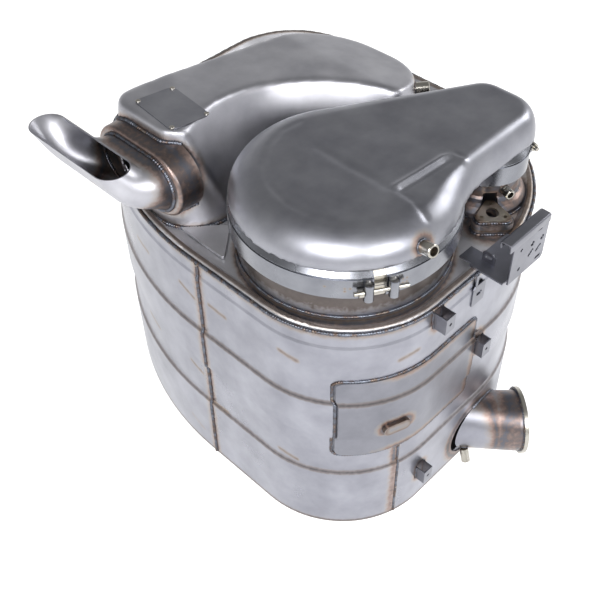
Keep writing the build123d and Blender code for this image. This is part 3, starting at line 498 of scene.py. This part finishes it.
plainFinishes = {
    # ceramic of the bricks: pale, matt and speckled, its cells too fine to show; specks of 2.5 mm
    "cordieriteCeramic": {
        "light": "c9bfa6", "dark": "9a917c", "rough": 0.9, "scale": 400,
        "nodes": ("oxidation_catalyst", "particulate_filter", "reduction_catalyst")},
    # fibre mat round the bricks: off-white felt; tufts of 5 mm
    "fibreMat": {
        "light": "cfcac0", "dark": "a8a297", "rough": 0.95, "scale": 180,
        "nodes": ("oxidation_mat", "filter_mat", "reduction_mat")},
    # graphite in the joints: near black, dull; specks of 4 mm
    "graphiteGasket": {
        "light": "3c3d40", "dark": "26272a", "rough": 0.6, "scale": 250,
        "nodes": ("filter_gasket", "neck_gasket")},
}
for name, finish in plainFinishes.items():
    material, tree = blankMaterial(name)
    place = addNode(tree, "ShaderNodeTexCoord").outputs["Object"]
    specks = addNode(
        tree, "ShaderNodeTexNoise", values={"Scale": finish["scale"], "Detail": 3.0},
        links={"Vector": place})
    blend = addNode(
        tree, "ShaderNodeMixRGB",
        values={1: linearColour(finish["dark"]), 2: linearColour(finish["light"])},
        links={0: specks.outputs[0]})
    bump = addNode(
        tree, "ShaderNodeBump", values={"Strength": 0.5, "Distance": 0.2 * mm},
        links={"Height": specks.outputs[0]})
    shader = addNode(
        tree, "ShaderNodeBsdfPrincipled", values={"Roughness": finish["rough"]},
        links={"Base Color": blend.outputs[0], "Normal": bump.outputs[0]})
    addNode(tree, "ShaderNodeOutputMaterial", links={"Surface": shader.outputs[0]})
    for node in nodes:
        if node.startswith(finish["nodes"]):
            nodeMaterials[node] = material

# weld metal: dark grey to blue, with brown oxide in the ripples, in patches of 11 mm
weldTints = ((0.3, "70757f"), (0.5, "5c5e66"), (0.62, "5f5048"), (0.75, "8f8c88"))
weldMetal, tree = blankMaterial("oxidisedWeldMetal")
place = addNode(tree, "ShaderNodeTexCoord").outputs["Object"]
oxide = addNode(tree, "ShaderNodeTexNoise", values={"Scale": 90.0, "Detail": 3.0}, links={"Vector": place})
tint = addNode(tree, "ShaderNodeValToRGB", links={0: oxide.outputs[0]})
setRamp(tint, [(position, linearColour(code)) for position, code in weldTints])
shader = addNode(
    tree, "ShaderNodeBsdfPrincipled", values={"Metallic": 1.0, "Roughness": 0.38},
    links={"Base Color": tint.outputs["Color"]})
addNode(tree, "ShaderNodeOutputMaterial", links={"Surface": shader.outputs[0]})

for name, node in nodes.items():
    node.data.materials.clear()
    node.data.materials.append(nodeMaterials.get(name, materials["canisterSteel"]))
print("nodes dressed")

# pressed skins: the CAD solid's outer skin, filled, remeshed and smoothed as a press rounds a sheet
skinSettings = {
    "outlet_hood": {
        "name": "hoodSkin", "cell": 3.4, "passes": 22, "free": (497, 520), "slot": "hood_steel",
        # what opens towards the collar: a slot from end to end in y, at one height
        "mouth": {"ends": (243, 311), "level": 574, "radius": 46, "side": -60, "facing": -0.93},
    },
    "crossover_cover": {
        "name": "coverSkin", "cell": 2.9, "passes": 9, "free": (597, 604), "slot": "cover_steel",
        # lines pressed into the top: points, height, half width
        "lines": (
            (((-1, 54), (-2, 0), (0, -48), (0, -77)), -1.3, 8),
            (((8, -83), (56, -88), (104, -91), (118, -99), (122, -116)), 2.6, 5),
            (((14, -93), (56, -97), (106, -100)), -1.6, 5),
            (((4, -88), (1, -119), (-5, -150)), -1.8, 5),
            (((28, 119), (-7, 123), (-45, 111), (-83, 83), (-108, 48), (-121, 0), (-117, -40), (-104, -72)),
             -1.0, 6),
        ),
        "lineFloor": 620, "lineFacing": 0.5,  # pressed only above this height, on faces that look up
    },
}
sheetThickness = 2  # mm
# a face is outer when a ray from just off it, in mm, leaning outward, meets nothing
outerTest = {"lift": 0.3, "lean": 0.35, "tries": 6}
# a face is underside when it looks down and lies under the smoothed part, with a margin in mm
undersideTest = {"facing": -0.7, "margin": 2}


# the outer skin is what has nothing above it, a little outward
def outerSkin(node):
    shape = bmesh.new()
    shape.from_mesh(nodes[node].data)
    bmesh.ops.remove_doubles(shape, verts=shape.verts, dist=sameSpot)
    tree = BVHTree.FromBMesh(shape)
    lean = outerTest["lean"]
    inner = []
    for face in shape.faces:
        start = face.calc_center_median() + face.normal * outerTest["lift"] * mm
        escape = Vector((lean * face.normal.x, lean * face.normal.y, 1)).normalized()
        if tree.ray_cast(start, escape)[0] is not None:
            inner.append(face)
    bmesh.ops.delete(shape, geom=inner, context="FACES")
    for attempt in range(outerTest["tries"]):  # a ragged hole is widened by a ring of faces until it fills
        bmesh.ops.holes_fill(shape, edges=[edge for edge in shape.edges if edge.is_boundary])
        ragged = [edge for edge in shape.edges if not edge.is_manifold]
        if not ragged:
            break
        around = {face for edge in ragged for vertex in edge.verts for face in vertex.link_faces}
        bmesh.ops.delete(shape, geom=list(around), context="FACES")
        dropLoose(shape)
    print(node, "skin closed after", attempt, "tries")
    bmesh.ops.triangulate(shape, faces=shape.faces[:])
    bmesh.ops.recalc_face_normals(shape, faces=shape.faces[:])
    return shape


def dropLoose(shape):
    loose = [vertex for vertex in shape.verts if not vertex.link_faces]
    bmesh.ops.delete(shape, geom=loose, context="VERTS")


def applyModifiers(piece):
    bpy.ops.object.select_all(action="DESELECT")
    piece.select_set(True)
    bpy.context.view_layer.objects.active = piece
    for modifier in list(piece.modifiers):
        bpy.ops.object.modifier_apply(modifier=modifier.name)
    piece.select_set(False)


# what lies under the sheet, and what covers the mouth
def skinOpening(face, settings):
    x, y, z = face.calc_center_median() / mm
    if face.normal.z < undersideTest["facing"] and z < settings["free"][0] + undersideTest["margin"]:
        return True
    mouth = settings.get("mouth")
    if not mouth or x >= mouth["side"] or face.normal.x >= mouth["facing"]:
        return False
    across = y - min(max(y, mouth["ends"][0]), mouth["ends"][1])
    return math.hypot(across, z - mouth["level"]) < mouth["radius"]


def pressLines(shape, settings):
    for vertex in shape.verts:
        if vertex.co.z <= settings["lineFloor"] * mm or vertex.normal.z <= settings["lineFacing"]:
            continue
        spot = Vector((vertex.co.x, vertex.co.y)) / mm
        for line, rise, width in settings["lines"]:
            near = width * 3  # from here on a line presses nothing
            for first, second in zip(line, line[1:]):
                share = intersect_point_line(spot, Vector(first), Vector(second))[1]
                foot = Vector(first).lerp(Vector(second), min(max(share, 0), 1))
                near = min(near, (spot - foot).length)
            vertex.co.z += rise * mm * math.exp(-(near / width) ** 2)


# several parts become one piece with its material and body
def finishPiece(name, parts, material, replaced=None, smooth=True):
    bpy.ops.object.select_all(action="DESELECT")
    for part in parts:
        part.select_set(True)
    bpy.context.view_layer.objects.active = parts[0]
    if len(parts) > 1:
        bpy.ops.object.join()
    piece = bpy.context.view_layer.objects.active
    piece.select_set(False)
    piece.name = name
    if smooth:
        for polygon in piece.data.polygons:
            polygon.use_smooth = True
    piece.data.materials.clear()
    piece.data.materials.append(material)
    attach(piece, "root")
    if replaced:
        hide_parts(replaced)
    print(name, len(piece.data.polygons), "faces")


for node, settings in skinSettings.items():
    shape = outerSkin(node)
    mesh = bpy.data.meshes.new(settings["name"])
    shape.to_mesh(mesh)
    shape.free()
    piece = bpy.data.objects.new(settings["name"], mesh)
    bpy.context.scene.collection.objects.link(piece)
    remesh = piece.modifiers.new("remesh", "REMESH")
    remesh.mode = "VOXEL"
    remesh.voxel_size = settings["cell"] * mm
    applyModifiers(piece)
    low, high = settings["free"]
    group = piece.vertex_groups.new(name="free")
    for vertex in piece.data.vertices:
        weight = (vertex.co.z / mm - low) / (high - low)
        group.add([vertex.index], min(max(weight, 0.0), 1.0), "REPLACE")
    smooth = piece.modifiers.new("press", "SMOOTH")
    smooth.factor = 0.5
    smooth.iterations = settings["passes"]
    smooth.vertex_group = "free"
    applyModifiers(piece)
    shape = bmesh.new()
    shape.from_mesh(piece.data)
    gone = [face for face in shape.faces if skinOpening(face, settings)]
    bmesh.ops.delete(shape, geom=gone, context="FACES")
    dropLoose(shape)
    if "lines" in settings:
        pressLines(shape, settings)
    shape.to_mesh(piece.data)
    shape.free()
    wallThickness = piece.modifiers.new("sheet", "SOLIDIFY")
    wallThickness.thickness = sheetThickness * mm
    wallThickness.offset = -1
    applyModifiers(piece)
    finishPiece(settings["name"], [piece], nodeMaterials[node], node)

# weld beads, each a curve whose radius in mm swells at every ripple
beadSettings = {
    "pitch": 4.2, "swell": (1.12, 1.04, 0.92, 0.84), "sides": 3,
    # the welder's hand, in two slow waves: share of the radius, turn at each point, start
    "waves": ((0.06, 0.37, 0.0), (0.05, 0.113, 1.3)),
    "radius": {
        "leftSeam": 3.0, "frontSeam": 2.2, "patchBead": 2.7, "rimBead": 3.2, "bracketBead": 1.8,
        "hoodFoot": 3.5, "hoodBossBead": 1.5, "collarBead": 4.2, "pipeBead": 3.4, "padFoot": 2.4,
        "dosingBead": 2.4, "collarJoint": 2.2, "neckFoot": 1.7, "neckBossBead": 1.2,
        "coverBossBead": 1.6, "coneFoot": 3.0, "inletNeck": 1.3, "inletBossBead": 1.3,
    },
}


def spread(points, step, closed):
    points = [Vector(point) for point in points]
    if closed:
        points.append(points[0].copy())
    lengths = [(b - a).length for a, b in zip(points, points[1:])]
    total = sum(lengths)
    count = max(int(total / step), 4)
    made = []
    index, run = 0, 0.0
    for number in range(count if closed else count + 1):
        target = total * number / count
        while index < len(lengths) - 1 and run + lengths[index] < target:
            run += lengths[index]
            index += 1
        share = (target - run) / lengths[index] if lengths[index] else 0
        made.append(points[index].lerp(points[index + 1], min(share, 1.0)))
    return made


def weldBead(name, points, closed=True):
    swell = beadSettings["swell"]
    line = spread(points, beadSettings["pitch"] / len(swell), closed)
    curve = bpy.data.curves.new(name, "CURVE")
    curve.dimensions = "3D"
    curve.bevel_depth = beadSettings["radius"][name] * mm
    curve.bevel_resolution = beadSettings["sides"]
    curve.use_fill_caps = not closed
    spline = curve.splines.new("POLY")
    spline.points.add(len(line) - 1)
    for index, (point, spot) in enumerate(zip(spline.points, line)):
        uneven = 1
        for share, turn, start in beadSettings["waves"]:
            uneven += share * math.sin(index * turn + start)
        point.co = (*(spot * mm), 1)
        point.radius = swell[index % len(swell)] * uneven
    spline.use_cyclic_u = closed
    return curveMesh(name, curve)


def curveMesh(name, curve):
    drawn = bpy.data.objects.new(name, curve)
    bpy.context.scene.collection.objects.link(drawn)
    bpy.ops.object.select_all(action="DESELECT")
    drawn.select_set(True)
    bpy.context.view_layer.objects.active = drawn
    bpy.ops.object.convert(target="MESH")
    return bpy.context.object


# the longest line in which a level plane cuts a node
def cutLoop(node, level):
    shape = bmesh.new()
    shape.from_mesh(nodes[node].data)
    bmesh.ops.remove_doubles(shape, verts=shape.verts, dist=sameSpot)
    cut = bmesh.ops.bisect_plane(
        shape, geom=shape.verts[:] + shape.edges[:] + shape.faces[:],
        plane_co=(0, 0, level * mm), plane_no=(0, 0, 1))["geom_cut"]
    # a list, since a set would start each run's loop at another edge
    edges = [part for part in cut if isinstance(part, bmesh.types.BMEdge)]
    longest, longestLength = [], 0.0
    while edges:
        edge = edges.pop()
        first, vertex = edge.verts
        loop = [first, vertex]
        length = edge.calc_length()
        while vertex is not first:
            following = [other for other in vertex.link_edges if other in edges]
            if not following:
                break
            edges.remove(following[0])
            length += following[0].calc_length()
            vertex = following[0].other_vert(vertex)
            loop.append(vertex)
        if length > longestLength:
            longest = [vertex.co / mm for vertex in loop[:-1]]
            longestLength = length
    shape.free()
    return longest


# a foot is cut where its line is clean, and its bead laid in the joint itself
def footLoop(node, cutLevel, beadLevel):
    return [Vector((point.x, point.y, beadLevel)) for point in cutLoop(node, cutLevel)]


surfaces = {}
contactSettings = {"gap": 0.6, "sector": 6}  # mm and degrees
castStart = 0.2  # metres before the point a ray is aimed at


def surfaceOf(node):
    if node not in surfaces:
        mesh = nodes[node].data
        surfaces[node] = BVHTree.FromPolygons(
            [vertex.co for vertex in mesh.vertices], [polygon.vertices for polygon in mesh.polygons])
    return surfaces[node]


# the outermost points where one node touches another, in order round an axis
def contactLoop(node, other, centre, axis):
    tree = surfaceOf(other)
    axis = Vector(axis).normalized()
    side = axis.orthogonal().normalized()
    up = axis.cross(side)
    found = {}
    for vertex in nodes[node].data.vertices:
        if tree.find_nearest(vertex.co, contactSettings["gap"] * mm)[0] is None:
            continue
        arm = vertex.co / mm - Vector(centre)
        a, b = arm.dot(side), arm.dot(up)
        angle = round(math.degrees(math.atan2(b, a)) / contactSettings["sector"])
        reach = math.hypot(a, b)
        if angle not in found or reach > found[angle][0]:
            found[angle] = (reach, vertex.co / mm)
    return [found[angle][1] for angle in sorted(found)]


def ringPoints(centre, axis, radius, count=120):
    axis = Vector(axis).normalized()
    side = axis.orthogonal().normalized()
    up = axis.cross(side)
    return [
        Vector(centre) + (side * math.cos(angle) + up * math.sin(angle)) * radius
        for angle in (math.radians(360 * step / count) for step in range(count))]


def racetrackPoints(x, centreY, centreZ, half, radius, count=40):
    points = []
    for shift, turn in ((half, 90), (-half, 270)):
        for step in range(count + 1):
            angle = math.radians(turn - 180 * step / count)
            points.append(Vector((
                x, centreY + shift + radius * math.cos(angle), centreZ + radius * math.sin(angle))))
    return points


def castOn(node, point, direction):
    direction = Vector(direction).normalized()
    place = surfaceOf(node).ray_cast(Vector(point) * mm - direction * castStart, direction)[0]
    return place / mm if place is not None else None


def wallPoints(points, direction):
    hits = [castOn("body_shell", point, direction) for point in points]
    return [hit for hit in hits if hit is not None]


outside = -200  # in front of the wall and left of it
frontward = (0, 1, 0)
# upright seams of the wall, each seen from the side it is on
seams = {
    "leftSeam": {"place": (outside, 135), "heights": range(6, 487, 2), "way": (1, 0, 0)},
    "frontSeam": {"place": (-66, outside), "heights": range(6, 202, 2), "way": (0.34, 0.94, 0)},
}
patchFrame = {"left": -150.5, "right": 102.5, "low": 201.5, "high": 386.5, "corner": 11, "step": 2.0}
wallBrackets = {"nodes": ("wall_bracket_upper", "wall_bracket_middle", "wall_bracket_lower"), "beside": 0.3}
corner = patchFrame["corner"]
outline = []
for x, z, turn in (
        (patchFrame["right"] - corner, patchFrame["high"] - corner, 90),
        (patchFrame["left"] + corner, patchFrame["high"] - corner, 180),
        (patchFrame["left"] + corner, patchFrame["low"] + corner, 270),
        (patchFrame["right"] - corner, patchFrame["low"] + corner, 360)):
    for step in range(9):
        angle = math.radians(turn - 90 + 90 * step / 8)
        outline.append((x + corner * math.cos(angle), outside, z + corner * math.sin(angle)))
wallBeads = []
for name, seam in seams.items():
    line = [(*seam["place"], z) for z in seam["heights"]]
    wallBeads.append(weldBead(name, wallPoints(line, seam["way"]), False))
wallBeads.append(weldBead("patchBead", wallPoints(spread(outline, patchFrame["step"], True), frontward)))
wallBeads.append(weldBead("rimBead", footLoop("body_shell", 488.6, 489.0)))
for name in wallBrackets["nodes"]:
    low, high = [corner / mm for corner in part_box(name)]
    for x in (low.x - wallBrackets["beside"], high.x + wallBrackets["beside"]):
        line = [(x, outside, low.z + (high.z - low.z) * step / 12) for step in range(13)]
        wallBeads.append(weldBead("bracketBead", wallPoints(line, frontward), False))

hoodBeads = [
    weldBead("hoodFoot", footLoop("outlet_hood", 488.2, 488.3)),
    weldBead("hoodBossBead", contactLoop("hood_boss", "outlet_hood", (300, 107, 575), (1, -1, 0.1))),
]
outletBeads = [
    weldBead("collarBead", contactLoop("outlet_collar", "outlet_hood", (-150, 277, 574), (1, 0, 0))),
    weldBead("pipeBead", racetrackPoints(-165.6, 277, 574, 34.5, 48.6)),
]
neckBeads = [
    weldBead("padFoot", footLoop("dosing_pad", 487.8, 488.0)),
    weldBead("dosingBead", footLoop("dosing_flange", 506.8, 506.8)),
    weldBead("collarJoint", ringPoints((0, 0, 501.4), (0, 0, 1), 166.2, 200)),
]


# the neck's foot is welded where it stands on the lid's floor, clear of the dosing pad
neckFoot = {
    "centre": (249, -74, 488), "radius": 72.6, "points": 240, "shortest": 7,
    "floor": 487, "flatness": 1.2, "above": 500, "pad": (191, -136), "padClear": 37,
}


def onLidFloor(point):
    padX, padY = neckFoot["pad"]
    hit = castOn("top_plate", (point.x, point.y, neckFoot["above"]), (0, 0, -1))
    flat = hit is not None and abs(hit.z - neckFoot["floor"]) < neckFoot["flatness"]
    return flat and math.hypot(point.x - padX, point.y - padY) > neckFoot["padClear"]


footRing = ringPoints(neckFoot["centre"], (0, 0, 1), neckFoot["radius"], neckFoot["points"])
for welded, run in itertools.groupby(footRing, onLidFloor):
    run = list(run)
    if welded and len(run) >= neckFoot["shortest"]:
        neckBeads.append(weldBead("neckFoot", run, False))
neckBeads.append(weldBead(
    "neckBossBead", contactLoop("neck_boss", "mixing_neck", (238, -104, 530), (-0.34, -0.94, 0))))
coverBeads = [weldBead(
    "coverBossBead", contactLoop("cover_boss", "crossover_cover", (-29, -168, 610), (-0.17, -1, 0.3)))]
inletTurn = math.radians(-41)
inletWay = Vector((math.cos(inletTurn), math.sin(inletTurn), 0))
inletJoint = Vector((206, -242, 62)) + inletWay * 6.4  # where the cone meets its flange
inletBeads = [
    weldBead("coneFoot", contactLoop("inlet_cone", "body_shell", (152, -196, 62), inletWay)),
    weldBead("inletNeck", ringPoints(inletJoint, inletWay, 56.7)),
    weldBead(
        "inletBossBead", contactLoop("inlet_boss", "inlet_cone", (113, -210, 24), (-0.2, -0.45, -0.87))),
]
finishPiece("wallWelds", wallBeads, weldMetal)
finishPiece("hoodWelds", hoodBeads, weldMetal)
finishPiece("outletWelds", outletBeads, weldMetal)
finishPiece("neckWelds", neckBeads, weldMetal)
finishPiece("inletWelds", inletBeads, weldMetal)
finishPiece("coverWelds", coverBeads, weldMetal)

# mounting bracket, cut and folded: a plate with holes, a flange with a lip, a tab on the shelf
bracketSettings = {
    "face": -234.0, "sheet": 3.0, "left": 85.0, "width": 99.0,
    "outline": ((97, 489), (180, 489), (184, 495), (184, 570), (180, 573), (88, 573), (85, 570), (97, 558)),
    "holes": (  # x, z, radius, half length, turn in degrees
        (172, 536, 4.6, 0, 0), (147, 539, 4.6, 0, 0), (166, 519, 3.0, 4.5, 35), (146, 522, 3.0, 4.5, 35),
        (120, 506, 3.4, 0, 0), (156, 560, 2.6, 9.0, -12), (118, 545, 3.0, 0, 0), (170, 499, 2.4, 5.0, 0)),
    "flange": (
        (-235.5, 560), (-235.5, 572), (-234.5, 573.5), (-221, 573.5), (-218.4, 572), (-218, 566),
        (-219.5, 562)),
    "flangeSheet": 2.4,
    "tab": ((-201, 497), (-179, 497), (-179, 513), (-183, 517), (-197, 517), (-201, 513)),
    "tabHole": (-190, 508, 3.2, 3.5, 0), "tabPlace": 110.0,
}
cutEdge = 0.5  # mm, the broken edge of laser cut sheet
upright = (90, 0, 0)  # turns a drawing into the plane of x and z
sideways = (90, 0, 90)  # turns it into the plane of y and z


def slotPoints(across, up, radius, half, turn, count=24):
    angle = math.radians(turn)
    points = []
    for step in range(count):
        spin = 2 * math.pi * step / count
        shift = half if math.cos(spin) > 0 else -half
        a, b = radius * math.cos(spin) + shift, radius * math.sin(spin)
        points.append((
            across + a * math.cos(angle) - b * math.sin(angle),
            up + a * math.sin(angle) + b * math.cos(angle)))
    return points


# a flat drawing in mm, turned up and given a depth; an open line becomes a folded strip of sheet
def cutSheet(name, outlines, turn, place, depth, fold=None, edge=cutEdge):
    curve = bpy.data.curves.new(name, "CURVE")
    curve.dimensions = "2D"
    curve.fill_mode = "NONE" if fold else "BOTH"
    curve.extrude = depth / 2 * mm
    for outline in outlines:
        spline = curve.splines.new("POLY")
        spline.points.add(len(outline) - 1)
        for point, (across, up) in zip(spline.points, outline):
            point.co = (across * mm, up * mm, 0, 1)
        spline.use_cyclic_u = not fold
    sheet = curveMesh(name, curve)
    sheet.rotation_euler = [math.radians(angle) for angle in turn]
    sheet.location = Vector(place) * mm
    bpy.ops.object.transform_apply(location=True, rotation=True, scale=True)
    bpy.ops.object.mode_set(mode="EDIT")
    bpy.ops.mesh.select_all(action="SELECT")
    bpy.ops.mesh.remove_doubles(threshold=sameSpot)
    bpy.ops.mesh.normals_make_consistent(inside=False)
    bpy.ops.object.mode_set(mode="OBJECT")
    if fold:
        strip = sheet.modifiers.new("thickness", "SOLIDIFY")
        strip.thickness = fold * mm
        strip.offset = 0
    bevel = sheet.modifiers.new("edge", "BEVEL")
    bevel.width = edge * mm
    bevel.segments = 3
    bevel.limit_method = "ANGLE"
    applyModifiers(sheet)
    return sheet


plateLines = [bracketSettings["outline"]] + [slotPoints(*hole) for hole in bracketSettings["holes"]]
bracketMiddle = bracketSettings["left"] + bracketSettings["width"] / 2
tabLines = [bracketSettings["tab"], slotPoints(*bracketSettings["tabHole"])]
bracketParts = [
    cutSheet("cutPlate", plateLines, upright, (0, bracketSettings["face"], 0), bracketSettings["sheet"]),
    cutSheet(
        "foldedFlange", [bracketSettings["flange"]], sideways, (bracketMiddle, 0, 0),
        bracketSettings["width"], bracketSettings["flangeSheet"]),
    cutSheet(
        "shelfTab", tabLines, sideways, (bracketSettings["tabPlace"], 0, 0), bracketSettings["sheet"]),
]
bracketSteel = materials["bentBracketSteel"]
finishPiece("bracketPlate", bracketParts, bracketSteel, "mounting_bracket", False)

# pressed triangle on the lid: a low panel with a rolled edge
triangleSettings = {
    "corners": ((-150, 211), (-92, 158), (-151, 108)), "round": 9, "level": 489.2, "depth": 5.0, "roll": 2.2,
}
outline = []
corners = [Vector(corner) for corner in triangleSettings["corners"]]
for before, corner, after in zip(corners[-1:] + corners[:-1], corners, corners[1:] + corners[:1]):
    first = corner + (before - corner).normalized() * triangleSettings["round"]
    second = corner + (after - corner).normalized() * triangleSettings["round"]
    for step in range(7):
        share = step / 6
        outline.append(tuple(first.lerp(corner, share).lerp(corner.lerp(second, share), share)))
triangle = cutSheet(
    "lidTriangle", [outline], (0, 0, 0), (0, 0, triangleSettings["level"]), triangleSettings["depth"],
    edge=triangleSettings["roll"])
finishPiece("lidTriangle", [triangle], materials["pressedLidSteel"], smooth=False)

# small clip on the front wall, under the bracket's shelf
clipSettings = {
    "plate": ((80, 424), (109, 424), (110, 430), (110, 460), (106, 465), (83, 465), (79, 460), (79, 428)),
    "hole": (95, 445, 3.6, 3.0, 0), "sheet": 2.4,
    "strap": ((83, 461), (88.5, 461), (88.5, 488), (83, 488)), "strapSheet": 1.92,
    "across": (80, 95, 109), "up": (426, 462), "stand": 1,  # the wall is felt here, and the clip stands off
}
clipSpots = [(x, outside, z) for x in clipSettings["across"] for z in clipSettings["up"]]
clipFace = min(spot.y for spot in wallPoints(clipSpots, frontward)) - clipSettings["stand"]
clipLines = [clipSettings["plate"], slotPoints(*clipSettings["hole"])]
clipParts = [
    cutSheet("clipPlate", clipLines, upright, (0, clipFace, 0), clipSettings["sheet"]),
    cutSheet("clipStrap", [clipSettings["strap"]], upright, (0, clipFace, 0), clipSettings["strapSheet"]),
]
finishPiece("wallClip", clipParts, bracketSteel, smooth=False)
